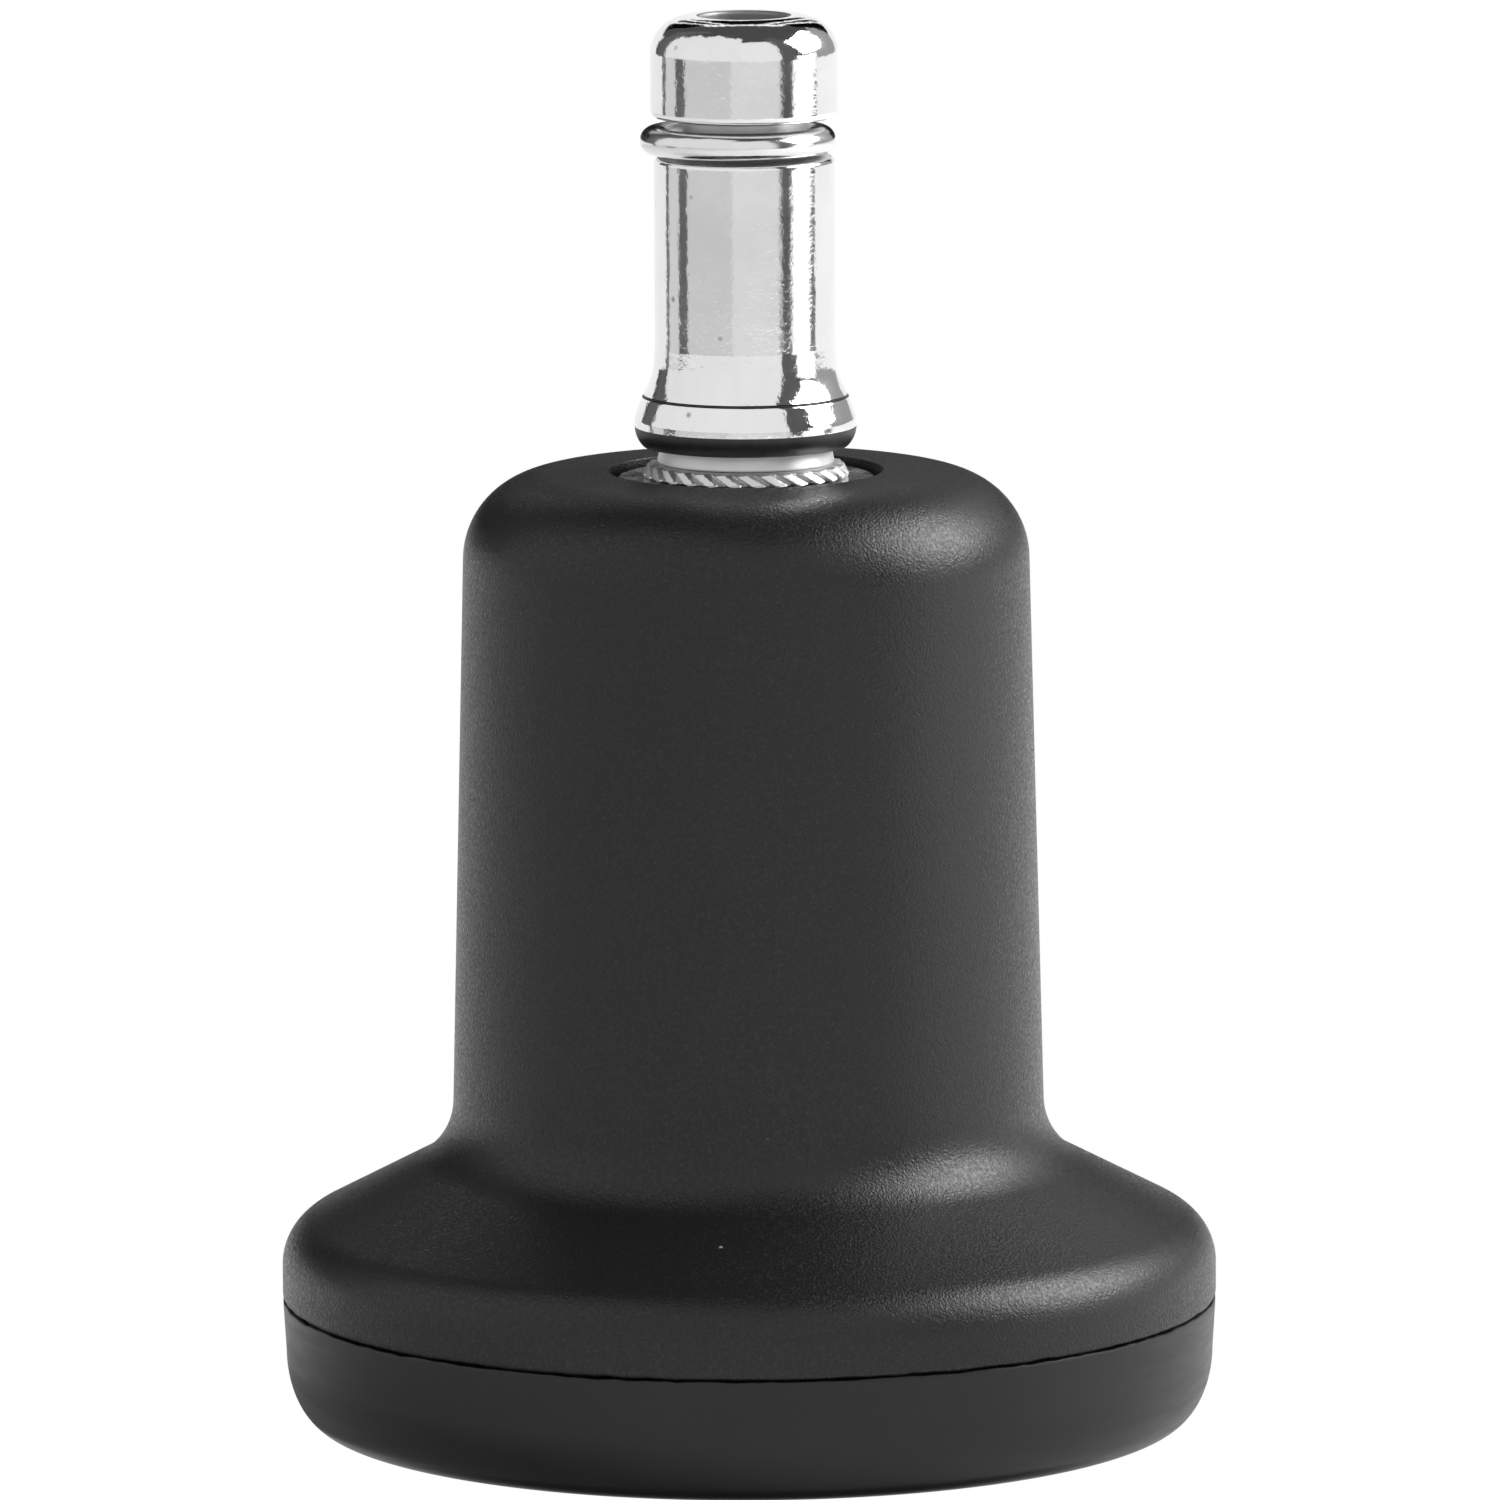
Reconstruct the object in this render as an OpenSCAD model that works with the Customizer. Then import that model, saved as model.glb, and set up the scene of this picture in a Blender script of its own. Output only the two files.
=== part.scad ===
// Bell glide: a stationary foot that replaces a furniture caster.
// A grip-ring stem turns in a hollow moulded bell, which a round base cap closes from below.
// Millimetres, +Z up, origin on the floor at the centre of the base.

/* [Foot] */
// Diameter of the foot at its widest
base_d = 57.2; // [56:0.2:62]
// Height of the bell's flat crown above the floor
bell_h = 58.8; // [58.4:0.2:66]
// Height of the base cap, from the floor to the seam
cap_h = 7.7; // [7.3:0.1:8.1]
// Height of the straight rim above the seam
rim_h = 2.15; // [1.8:0.05:2.5]
// Slope of the flare between rim and column, in degrees
flare_slope = 27.4; // [24:0.2:30]
// Diameter of the column where it meets the crown's rounding
column_d = 34.5; // [33:0.1:36]
// Draft of the column, in degrees
column_draft = 1.4; // [1:0.1:1.8]
// Radius of the crown's rounding
crown_r = 5.3; // [4:0.1:6]
// Thickness of the bell's walls
wall = 2.8; // [2.4:0.1:3]
// Number of ribs inside the bell
rib_count = 6; // [4:1:8]

/* [Stem] */
// Diameter of the shank, nominally 7/16 inch
shank_d = 11; // [10.8:0.1:11.2]
// Diameter of the stem's head
head_d = 11.4; // [11.2:0.1:11.6]
// Height of the head
head_h = 6.2; // [5.8:0.1:6.6]
// Width of the groove between head and shank
groove_w = 2.45; // [2.4:0.05:3]
// Length of the shank between the collar's flare and the groove
shank_l = 11.5; // [10:0.1:16]
// Diameter of the collar at its widest
collar_d = 13.5; // [13.2:0.1:13.9]
// Diameter of the neck under the collar
neck_d = 10.6; // [10.2:0.1:11]
// Diameter of the spigot that turns inside the bell
spigot_d = 8; // [7.8:0.1:8]
// Diameter of the centre hole in the head
head_hole_d = 5.3; // [4:0.1:5.6]

/* [Grip ring] */
// Diameter of the ring's wire
wire_d = 1.7; // [1.5:0.1:1.9]
// Outer diameter of the ring, at rest
ring_d = 11.9; // [11.7:0.1:12.2]
// How far the loose ring sits off the stem's axis
ring_shift = 0.4; // [0:0.05:0.45]
// Angle of the ring's opening, in degrees
ring_gap = 24; // [12:1:40]
// How far the loose ring leans in its groove, in degrees
ring_lean = 0.8; // [0:0.1:2]

/* [Washers] */
// Outer diameter of the flat washer in the crown
washer_d = 15.7; // [15.2:0.1:15.9]
// Number of teeth on the lock washer
tooth_count = 27; // [18:1:30]

/* [Hidden] */
$fn = 96;

// Heights above the floor.
seam_z = cap_h;
rim_z = seam_z + rim_h;
crown_z = bell_h;
washer_t = 1.5;
washer_sink = 0.5;                          // flat washer's face, below the crown
washer_z = crown_z - washer_sink;
seat_z = washer_z - washer_t;               // floor of the crown's recess
tooth_washer_h = 0.9;
neck_z = washer_z + tooth_washer_h;         // underside of the neck
collar_z = neck_z + 1.05;                   // underside of the collar
crease_z = collar_z + 3.05;                 // line where the collar's bulge meets its flare
shank_z = crease_z + 3.05;
groove_z = shank_z + shank_l;
head_z = groove_z + groove_w;
top_z = head_z + head_h;

// Bell.
base_r = base_d / 2;
shoulder_r = 3.3;
waist_r = 4.5;
edge_r = 0.45;                              // rounding of the bell's lower edge
recess_r = 8.3;
recess_edge = 0.12;
web_z = crown_z - 6.8;                      // underside of the top web
web_fillet = 2;
boss_r = 7.2;
boss_z = 32;                                // lower end of the boss
run_gap = 0.08;                             // radial clearance of the spigot in its bore
thrust_gap = 0.05;                          // axial clearance where the stem turns on the bell
bore_r = spigot_d / 2 + run_gap;
rib_t = 1.8;

// Base cap.
cap_floor = 2.6;
cap_corner_w = 2.7;
cap_corner_h = 4.6;
cap_draft = 0.2;
cap_wall_r = base_r - 3.3;
hook_out = base_r - wall - 0.2;             // snap hooks stand just inside the bell's skirt
hook_t = 1.8;
hook_top = seam_z + 2.3;
hook_bead = 0.35;
hook_count = 8;
hook_angle = 24;
cap_rib_t = 1.5;
cap_ring_r = 9;

// Stem, keeper washer and clip.
spigot_r = spigot_d / 2;
spigot_z = boss_z - 4.5;
neck_flare = 0.08;                          // the neck widens a little towards its foot
keeper_t = 1.2;
keeper_z = boss_z - thrust_gap - keeper_t;
keeper_d = 14;
clip_t = 0.8;
clip_slot = 0.9;
clip_slot_z = keeper_z - clip_slot;
clip_depth = 0.2;                           // depth of the clip's groove
clip_gap = 0.02;
hole_depth = 4.5;
crease_w = 0.16;
crease_depth = 0.1;
taper = 4;                                  // slope of the shank's foot, in degrees
taper_h = 1.05;
ring_clear = 0.2;                           // room between the level ring and the shank's shoulder
ring_slack = 0.52;                          // how far the loose ring could shift
groove_r = ring_d / 2 - wire_d - ring_slack;     // floor of the grip ring's groove

// Points on an arc about c, from angle a to angle b.
function arc(c, r, a, b, n = 12) =
    [for (i = [0:n]) c + r * [cos(a + (b - a) * i / n), sin(a + (b - a) * i / n)]];

// Points on a quarter ellipse about c, with half-axes w and h.
function corner(c, w, h, a, b, n = 14) =
    [for (i = [0:n]) c + [w * cos(a + (b - a) * i / n), h * sin(a + (b - a) * i / n)]];

// The point where the lines n1 . p = d1 and n2 . p = d2 cross.
function cross_point(n1, d1, n2, d2) =
    [d1 * n2.y - d2 * n1.y, n1.x * d2 - n2.x * d1] / (n1.x * n2.y - n2.x * n1.y);

// Radius of the column's outside at height z.
function column_r(z) = column_d / 2 + (crown_z - crown_r - z) * tan(column_draft);

// Outward normals of the flare and of the column, in the plane of the profile.
flare_n = [sin(flare_slope), cos(flare_slope)];
column_n = [cos(column_draft), sin(column_draft)];
shoulder_c = [base_r - shoulder_r, rim_z];
flare_d = flare_n * (shoulder_c + shoulder_r * flare_n);
column_plane = column_n * [column_r(seam_z), seam_z];
waist_c = cross_point(flare_n, flare_d + waist_r, column_n, column_plane + waist_r);
crown_c = [column_r(crown_z - crown_r), crown_z - crown_r] - crown_r * column_n;

// Height of the flare's inner face at radius r.
function flare_in_z(r) = (flare_d - wall - flare_n.x * r) / flare_n.y;

module bell_outside() {
    rotate_extrude() polygon(concat(
        [[0, seam_z]],
        arc([base_r - edge_r, seam_z + edge_r], edge_r, -90, 0, 5),
        arc(shoulder_c, shoulder_r, 0, 90 - flare_slope, 12),
        arc(waist_c, waist_r, 270 - flare_slope, 180 + column_draft, 12),
        arc(crown_c, crown_r, column_draft, 90, 18),
        [[0, crown_z]]
    ));
}

module bell_cavity() {
    skirt_r = base_r - wall;
    foot_r = column_r(seam_z) - wall;
    top_r = column_r(web_z) - wall;
    rotate_extrude() polygon(concat(
        [[0, seam_z - 1], [skirt_r, seam_z - 1], [skirt_r, flare_in_z(skirt_r)]],
        [[foot_r, flare_in_z(foot_r)]],
        arc([top_r - web_fillet, web_z - web_fillet], web_fillet, 0, 90, 6),
        [[0, web_z]]
    ));
}

// Groove inside the skirt that the cap's hooks snap into.
module snap_groove() {
    deep_r = hook_out + hook_bead + 0.25;
    rotate_extrude() polygon([
        [base_r - wall - 1, hook_top - 1.3], [deep_r, hook_top - 1.0],
        [deep_r, hook_top - 0.4], [base_r - wall - 1, hook_top - 0.1],
    ]);
}

module bell_ribs() {
    in_wall = 0.8;
    foot_r = column_r(seam_z) - wall + in_wall;
    top_r = column_r(web_z) - wall + in_wall;
    toe_r = base_r - 7;
    for (i = [0:rib_count - 1]) rotate([90, 0, 360 * i / rib_count])
        linear_extrude(rib_t, center = true) polygon([
            [boss_r - 1, web_z + 1], [boss_r - 1, boss_z + 2.5], [10.5, boss_z - 1.5],
            [10.5, 22], [foot_r - 1.5, seam_z + 5.5], [toe_r, flare_in_z(toe_r) + 0.5],
            [foot_r, flare_in_z(foot_r) + 0.5], [top_r, web_z - web_fillet], [top_r - 1, web_z + 1],
        ]);
}

module crown_recess() {
    rotate_extrude() polygon(concat(
        [[0, seat_z], [recess_r, seat_z]],
        arc([recess_r + recess_edge, crown_z - recess_edge], recess_edge, 180, 90, 4),
        [[recess_r + recess_edge, crown_z + 1], [0, crown_z + 1]]
    ));
}

module bell_housing() {
    color("#2b2b2c") difference() {
        union() {
            difference() {
                bell_outside();
                bell_cavity();
                snap_groove();
            }
            bell_ribs();
            translate([0, 0, boss_z]) cylinder(r = boss_r, h = web_z + 1 - boss_z);
        }
        crown_recess();
        translate([0, 0, boss_z - 1]) cylinder(r = bore_r, h = seat_z + 2 - boss_z);
    }
}

module snap_hook() {
    rotate_extrude(angle = hook_angle) polygon([
        [hook_out - hook_t, cap_floor - 0.3], [hook_out, cap_floor - 0.3],
        [hook_out, hook_top - 1.1], [hook_out + hook_bead, hook_top - 0.9],
        [hook_out + hook_bead, hook_top - 0.6], [hook_out - 0.3, hook_top],
        [hook_out - hook_t, hook_top],
    ]);
}

module cap_shell() {
    corner_c = [base_r - cap_draft - cap_corner_w, cap_corner_h];
    chamfer = 0.12;
    gate_r = 3;
    gate_depth = 0.4;
    rotate_extrude() polygon(concat(
        [[0, gate_depth], [gate_r - gate_depth, gate_depth], [gate_r, 0]],
        corner(corner_c, cap_corner_w, cap_corner_h, -90, 0),
        [[base_r, seam_z - chamfer], [base_r - chamfer, seam_z], [cap_wall_r, seam_z]],
        [[cap_wall_r, cap_floor + 0.6], [cap_wall_r - 0.6, cap_floor], [0, cap_floor]]
    ));
}

module base_cap() {
    rib_top = seam_z - 1.2;
    color("#262627") union() {
        cap_shell();
        for (i = [0:hook_count - 1]) rotate([0, 0, (360 * i - 180) / hook_count - hook_angle / 2]) snap_hook();
        difference() {
            translate([0, 0, cap_floor - 0.3]) cylinder(r = cap_ring_r, h = rib_top - cap_floor + 0.3);
            translate([0, 0, cap_floor - 1]) cylinder(r = cap_ring_r - cap_rib_t, h = seam_z);
        }
        for (i = [0:hook_count - 1]) rotate([0, 0, 360 * i / hook_count])
            translate([cap_ring_r - 0.5, -cap_rib_t / 2, cap_floor - 0.3])
                cube([cap_wall_r + 1 - cap_ring_r, cap_rib_t, rib_top - cap_floor]);
    }
}

// The stem below the collar: spigot, clip groove and neck.
function stem_root() = [
    [0, spigot_z], [spigot_r - 0.6, spigot_z], [spigot_r, spigot_z + 0.6],
    [spigot_r, clip_slot_z], [spigot_r - clip_depth, clip_slot_z],
    [spigot_r - clip_depth, keeper_z], [spigot_r, keeper_z],
    [spigot_r, neck_z], [neck_d / 2, neck_z], [neck_d / 2 + neck_flare, neck_z + 0.12],
];

// The collar: a rounded underside, a bevelled bulge up to a crease, and a flare up to the shank.
function stem_collar() =
    let (under_a = 45, under_r = 1.7,
         under_c = [collar_d / 2 - under_r, collar_z + under_r * sin(under_a)],
         bulge_a = 20, bulge_r = 1.2, bulge_c = [collar_d / 2 - bulge_r, under_c.y + 0.3],
         bevel_r = collar_d / 2 - 0.45,
         flare_a = 33, flare_r = 4,
         flare_c = [shank_d / 2 + taper_h * tan(taper) + flare_r * cos(taper),
                    shank_z - taper_h + flare_r * sin(taper)])
    concat(
        [[neck_d / 2 - neck_flare, collar_z]],
        arc(under_c, under_r, -under_a, 0, 8),
        arc(bulge_c, bulge_r, 0, bulge_a, 4),
        [[bevel_r, crease_z - crease_w / 2], [bevel_r - crease_depth - 0.05, crease_z]],
        arc(flare_c, flare_r, 180 + flare_a, 180 + taper, 8),
        [[shank_d / 2, shank_z]]
    );

// The groove for the grip ring, and the head above it.
function stem_head() =
    let (head_r = head_d / 2, dome_r = 2.2, shoulder = 0.25)
    concat(
        arc([shank_d / 2 - shoulder, groove_z - shoulder], shoulder, 0, 90, 5),
        [[groove_r, groove_z], [groove_r, head_z]],
        arc([head_r - 0.45, head_z + 0.45], 0.45, -90, 0, 5),
        arc([head_r - dome_r, top_z - dome_r - 0.1], dome_r, 0, 62, 14),
        [[head_hole_d / 2 + 0.9, top_z - 0.04], [head_hole_d / 2 + 0.1, top_z]],
        [[head_hole_d / 2, top_z - 0.1]]
    );

module stem() {
    hole_r = head_hole_d / 2;
    color("#c9cacb") rotate_extrude() polygon(concat(
        stem_root(), stem_collar(), stem_head(),
        [[hole_r, top_z - hole_depth], [0, top_z - hole_depth - hole_r * 0.6]]
    ));
}

// Split spring ring, loose in the groove and a little higher at the front than at the back.
module grip_ring() {
    color("#bfc0c1") translate([-ring_shift, 0, groove_z + wire_d / 2 + ring_clear])
        rotate([-ring_lean, 0, 0]) rotate([0, 0, 90 + ring_gap / 2])
            rotate_extrude(angle = 360 - ring_gap)
                translate([(ring_d - wire_d) / 2, 0]) circle(d = wire_d);
}

// Lock washer with slanted teeth round its lower edge, clamped under the neck.
module tooth_washer() {
    tooth_r = 6.27;
    middle_z = washer_z + 0.45;
    notch_w = 0.55;
    notch_slant = 50;
    color("#cfd0d0") difference() {
        rotate_extrude() polygon([
            [bore_r, washer_z], [5.4, washer_z], [tooth_r - 0.05, washer_z + 0.12],
            [tooth_r, washer_z + 0.22], [tooth_r - 0.3, neck_z - 0.12],
            [neck_d / 2, neck_z], [bore_r, neck_z],
        ]);
        for (i = [0:tooth_count - 1]) rotate([0, 0, 360 * i / tooth_count])
            translate([tooth_r, 0, middle_z]) rotate([notch_slant, 0, 0])
                cube([0.9, notch_w, 1.4], center = true);
    }
}

module flat_washer(outer_r, inner_r, thickness) {
    edge = 0.2;
    rotate_extrude() polygon([
        [inner_r, 0], [outer_r - edge, 0], [outer_r, edge],
        [outer_r, thickness - edge], [outer_r - edge, thickness], [inner_r, thickness],
    ]);
}

module crown_washer() {
    color("#d2d3d4") translate([0, 0, seat_z + thrust_gap])
        flat_washer(washer_d / 2, bore_r, washer_t - thrust_gap);
}

module keeper_washer() {
    color("#b4b5b6") translate([0, 0, keeper_z]) flat_washer(keeper_d / 2, bore_r, keeper_t);
}

// External circlip with two drilled lugs.
module retaining_clip() {
    inner_r = spigot_r - clip_depth + clip_gap;
    band = 1.4;
    lug_r = 1.5;
    lug_angle = 24;
    color("#8e8f90") translate([0, 0, keeper_z - clip_t]) difference() {
        union() {
            translate([0, -0.15, 0]) cylinder(r = inner_r + band, h = clip_t);
            for (side = [-1, 1]) rotate([0, 0, 90 + side * lug_angle])
                translate([inner_r + lug_r, 0, 0]) cylinder(r = lug_r, h = clip_t);
        }
        translate([0, 0, -1]) cylinder(r = inner_r, h = clip_t + 2);
        translate([0, inner_r + 2, 0]) cube([1.8, 6, 4], center = true);
        for (side = [-1, 1]) rotate([0, 0, 90 + side * lug_angle])
            translate([inner_r + lug_r, 0, -1]) cylinder(r = 0.6, h = clip_t + 2);
    }
}

bell_housing();
base_cap();
stem();
grip_ring();
tooth_washer();
crown_washer();
keeper_washer();
retaining_clip();
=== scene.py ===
import math

import bmesh
import bpy
from mathutils import Matrix, Vector, noise


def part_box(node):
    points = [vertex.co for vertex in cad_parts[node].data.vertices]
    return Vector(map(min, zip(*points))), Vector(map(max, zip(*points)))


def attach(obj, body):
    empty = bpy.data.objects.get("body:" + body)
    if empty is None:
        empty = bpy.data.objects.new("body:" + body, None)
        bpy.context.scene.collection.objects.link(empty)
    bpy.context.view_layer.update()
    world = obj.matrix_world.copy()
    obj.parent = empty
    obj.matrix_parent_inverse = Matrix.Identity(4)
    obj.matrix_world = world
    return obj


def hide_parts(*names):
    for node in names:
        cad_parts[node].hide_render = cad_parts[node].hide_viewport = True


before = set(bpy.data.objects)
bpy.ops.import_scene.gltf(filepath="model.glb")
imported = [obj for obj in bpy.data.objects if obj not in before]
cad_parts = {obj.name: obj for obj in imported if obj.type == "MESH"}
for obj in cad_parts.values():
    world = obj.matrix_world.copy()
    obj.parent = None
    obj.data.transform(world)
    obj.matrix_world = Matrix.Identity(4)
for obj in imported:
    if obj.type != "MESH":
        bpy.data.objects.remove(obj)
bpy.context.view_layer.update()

# A bell glide: polished grip-ring stem, grained black nylon bell, smooth black base cap.
# Lengths are in millimetres until a mesh is made, which is in metres like the frame.
MM = 0.001
UM = 0.000001
ROUND = 288                                # segments of a large turned piece
ROUND_SMALL = 192                          # segments of the stem's pieces
ROUND_HIDDEN = 96                          # segments of a turned piece inside the bell
SHARP = math.radians(30)                   # edges bent more than this stay sharp
NEAR_ZERO = 1e-6


def extent(node):
    """The lowest and highest corner of a CAD node, in millimetres."""
    low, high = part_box(node)
    return Vector(low) / MM, Vector(high) / MM


# ---------------------------------------------------------------- sizes, from the frame
bell_low, bell_high = extent("bell_housing")
stem_low, stem_high = extent("stem")
ring_low, ring_high = extent("grip_ring")
flat_low, flat_high = extent("crown_washer")

base_r = bell_high.x
seam_z = bell_low.z
crown_z = bell_high.z
stem_foot_z = stem_low.z
top_z = stem_high.z
collar_r = stem_high.x
seat_gap = 0.05                            # between the flat washer and the recess under it
washer_z = flat_high.z                     # face of the flat washer
seat_z = flat_low.z - seat_gap             # floor of the crown's recess
neck_z = extent("tooth_washer")[1].z       # underside of the neck
ring_d = ring_high.x - ring_low.x
ring_x = (ring_high.x + ring_low.x) / 2    # the loose ring sits off the stem's axis

# Bell.
rim_h = 2.15                               # upright rim above the seam
shoulder_r = 3.3                           # rounding from the rim into the flare
waist_r = 4.5                              # hollow rounding from the flare into the column
crown_r = 5.3                              # rounding from the column into the crown
edge_r = 0.45                              # rounding of the rim at the seam
column_r = 17.25                           # where the column meets the crown's rounding
flare_slope = math.radians(27.4)
column_draft = math.radians(1.4)
wall = 2.8
recess_r = 8.3                             # recess in the crown, for the flat washer
recess_edge = 0.12
web_z = crown_z - 6.8                      # underside of the crown
boss_r = 7.2
boss_z = 32.0
bore_r = 4.08
rib_count = 6
rib_t = 1.8

# Base cap.
cap_floor = 2.6
cap_corner = (2.7, 4.6)                    # half-width and half-height of the corner's ellipse
cap_draft = 0.2
cap_wall_r = base_r - 3.3                  # inside of the cap's wall
cap_ring_r = 9.0
cap_rib_t = 1.5
hook_out = base_r - wall - 0.2             # outer face of the snap hooks
hook_t = 1.8
hook_bead = 0.35
hook_top = seam_z + 2.3
hook_count = 8
hook_angle = 24                            # degrees that one hook spans

# Stem.
shank_r = 5.5
head_r = 5.7
neck_r = 5.3
neck_flare = 0.08                          # the neck widens a little towards its foot
spigot_r = 4.0
collar_z = neck_z + 1.05                   # underside of the collar
crease_z = collar_z + 3.05                 # crease between the collar and its flare
shank_z = crease_z + 3.05                  # foot of the straight shank
head_z = top_z - 6.2                       # top of the ring's groove
groove_z = head_z - 2.45
groove_r = 3.73
hole_r = 2.65
hole_depth = 4.5
clip_slot_z = boss_z - 2.15
clip_slot_h = 0.9
clip_slot_depth = 0.2

# Grip ring.
wire_d = 1.7
ring_gap = 24                              # opening between the wire's ends, in degrees
ring_tip = 2                               # the wire stops this many degrees short, to be rounded over
ring_lean = math.radians(0.8)              # the loose ring is a little higher at the front
ring_middle_r = (ring_d - wire_d) / 2
ring_z = ring_high.z - wire_d / 2 - ring_middle_r * math.sin(ring_lean)

# Lock washer.
tooth_count = 27
tooth_r = 6.27                             # radius at the tips of the teeth
tooth_root_r = 5.45                        # radius inside which the washer has no teeth


# ---------------------------------------------------------------- outlines
def ellipse(centre, half_w, half_h, start, stop, steps):
    """Points on part of an ellipse, as (radius, height) pairs, with angles in degrees."""
    turns = [math.radians(start + (stop - start) * i / steps) for i in range(steps + 1)]
    return [(centre[0] + half_w * math.cos(t), centre[1] + half_h * math.sin(t)) for t in turns]


def arc(centre, radius, start, stop, steps):
    """Points on part of a circle."""
    return ellipse(centre, radius, radius, start, stop, steps)


def column_at(z):
    """The radius of the column's outside at height z."""
    return column_r + (crown_z - crown_r - z) * math.tan(column_draft)


def bell_geometry():
    """The centres of the bell's roundings, and its flare as a plane n . p = d."""
    flare_n = Vector((math.sin(flare_slope), math.cos(flare_slope)))
    column_n = Vector((math.cos(column_draft), math.sin(column_draft)))
    shoulder = Vector((base_r - shoulder_r, seam_z + rim_h))
    flare_d = flare_n.dot(shoulder) + shoulder_r
    column_d = column_n.dot(Vector((column_at(seam_z), seam_z)))
    d1, d2 = flare_d + waist_r, column_d + waist_r
    det = flare_n.x * column_n.y - flare_n.y * column_n.x
    waist = Vector((d1 * column_n.y - d2 * flare_n.y, flare_n.x * d2 - column_n.x * d1)) / det
    crown = Vector((column_at(crown_z - crown_r), crown_z - crown_r)) - crown_r * column_n
    return flare_n, flare_d, shoulder, waist, crown


def inner_flare(r):
    """The height of the bell's inside under the flare, at radius r."""
    flare_n, flare_d, *_ = bell_geometry()
    return (flare_d - wall - flare_n.x * r) / flare_n.y


def bell_outline():
    """The bell's closed section: outside from the seam up, recess, bore, boss and inside."""
    _, _, shoulder, waist, crown = bell_geometry()
    slope, draft = math.degrees(flare_slope), math.degrees(column_draft)
    skirt_r = base_r - wall
    foot_r = column_at(seam_z) - wall
    top_r = column_at(web_z) - wall
    seat_edge, bore_edge, boss_edge, boss_root, ceiling_r = 0.3, 0.2, 0.5, 1, 2
    snap_r = hook_out + hook_bead + 0.25
    snap_low, snap_high, snap_edge = hook_top - 1.0, hook_top - 0.4, 0.3
    outside = arc((base_r - edge_r, seam_z + edge_r), edge_r, -90, 0, 8)
    outside += arc(shoulder, shoulder_r, 0, 90 - slope, 20)
    outside += arc(waist, waist_r, 270 - slope, 180 + draft, 22)
    outside += arc(crown, crown_r, draft, 90, 36)
    recess = arc((recess_r + recess_edge, crown_z - recess_edge), recess_edge, 90, 180, 6)
    recess += arc((recess_r - seat_edge, seat_z + seat_edge), seat_edge, 0, -90, 4)
    bore = [(bore_r + bore_edge, seat_z), (bore_r, seat_z - bore_edge)]
    bore += [(bore_r, boss_z + bore_edge), (bore_r + bore_edge, boss_z)]
    boss = arc((boss_r - boss_edge, boss_z + boss_edge), boss_edge, -90, 0, 5)
    boss += arc((boss_r + boss_root, web_z - boss_root), boss_root, 180, 90, 6)
    inside = arc((top_r - ceiling_r, web_z - ceiling_r), ceiling_r, 90, 0, 8)
    inside += [(foot_r, inner_flare(foot_r)), (skirt_r, inner_flare(skirt_r))]
    inside += [(skirt_r, snap_high + snap_edge), (snap_r, snap_high), (snap_r, snap_low)]
    inside += [(skirt_r, snap_low - snap_edge), (skirt_r, seam_z)]
    return outside + recess + bore + boss + inside


def cap_outline():
    """The cap's section: from the axis along its underside, up the side, and back inside."""
    gate_r, gate_depth, gate_edge = 3.0, 0.4, 0.15
    lip, lip_h = 0.12, 0.14                # the bevel at the seam
    floor_edge = 0.6
    corner = (base_r - cap_draft - cap_corner[0], cap_corner[1])
    under = [(0, gate_depth), (gate_r - 0.6, gate_depth)]
    under += arc((gate_r - 0.45, gate_depth - gate_edge), gate_edge, 90, 20, 3)
    under += arc((gate_r + 0.1, gate_edge), gate_edge, 200, 270, 3)
    side = ellipse(corner, *cap_corner, -90, 0, 26)
    side += [(base_r - lip * 0.1, seam_z - lip_h), (base_r - lip / 3, seam_z - lip / 3)]
    side += [(base_r - lip, seam_z)]
    inside = [(cap_wall_r + 0.15, seam_z), (cap_wall_r, seam_z - 0.15)]
    inside += arc((cap_wall_r - floor_edge, cap_floor + floor_edge), floor_edge, 0, -90, 5)
    return under + side + inside + [(0, cap_floor)]


def collar_outline():
    """The collar's rounded underside, its bulging side, the crease, and the flare up to the shank."""
    under, under_r = 45, 1.7
    under_c = (collar_r - under_r, collar_z + under_r * math.sin(math.radians(under)))
    collar = arc(under_c, under_r, -under, 0, 18)
    bulge, bulge_r, side_h = 20, 1.2, 0.3
    collar += arc((collar_r - bulge_r, under_c[1] + side_h), bulge_r, 0, bulge, 10)
    bevel_r = collar_r - 0.45
    collar += [(bevel_r + 0.03, crease_z - 0.13), (bevel_r - 0.01, crease_z - 0.07)]
    collar += [(bevel_r - 0.13, crease_z - 0.02), (bevel_r - 0.14, crease_z + 0.03)]
    taper, taper_h, flare, flare_r = 4, 1.05, 33, 4.0
    tilt = math.radians(taper)
    flare_c = (
        shank_r + taper_h * math.tan(tilt) + flare_r * math.cos(tilt),
        shank_z - taper_h + flare_r * math.sin(tilt),
    )
    return collar + arc(flare_c, flare_r, 180 + flare, 180 + taper, 20) + [(shank_r, shank_z)]


def head_outline():
    """The head: its lower edge, its dome, the flatter top, and the shallow hole in the middle."""
    dome_r, top_r, turn, low_edge, brow = 2.2, 3.36, 66, 0.45, 0.1
    dome_c = (head_r - dome_r, top_z - dome_r - brow)
    head = arc((head_r - low_edge, head_z + low_edge), low_edge, -90, 0, 10)
    head += arc(dome_c, dome_r, 0, turn, 30)
    top_c_r = dome_c[0] + (dome_r - top_r) * math.cos(math.radians(turn))
    head += arc((top_c_r, top_z - top_r), top_r, turn, 86, 10)[1:]
    mouth_r = 0.2
    mouth = arc((hole_r + mouth_r, top_z - 0.22), mouth_r, 80, 180, 6)
    drill_tip = hole_r * 0.6
    mouth += [(hole_r, top_z - hole_depth), (0, top_z - hole_depth - drill_tip)]
    return head + mouth


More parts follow.
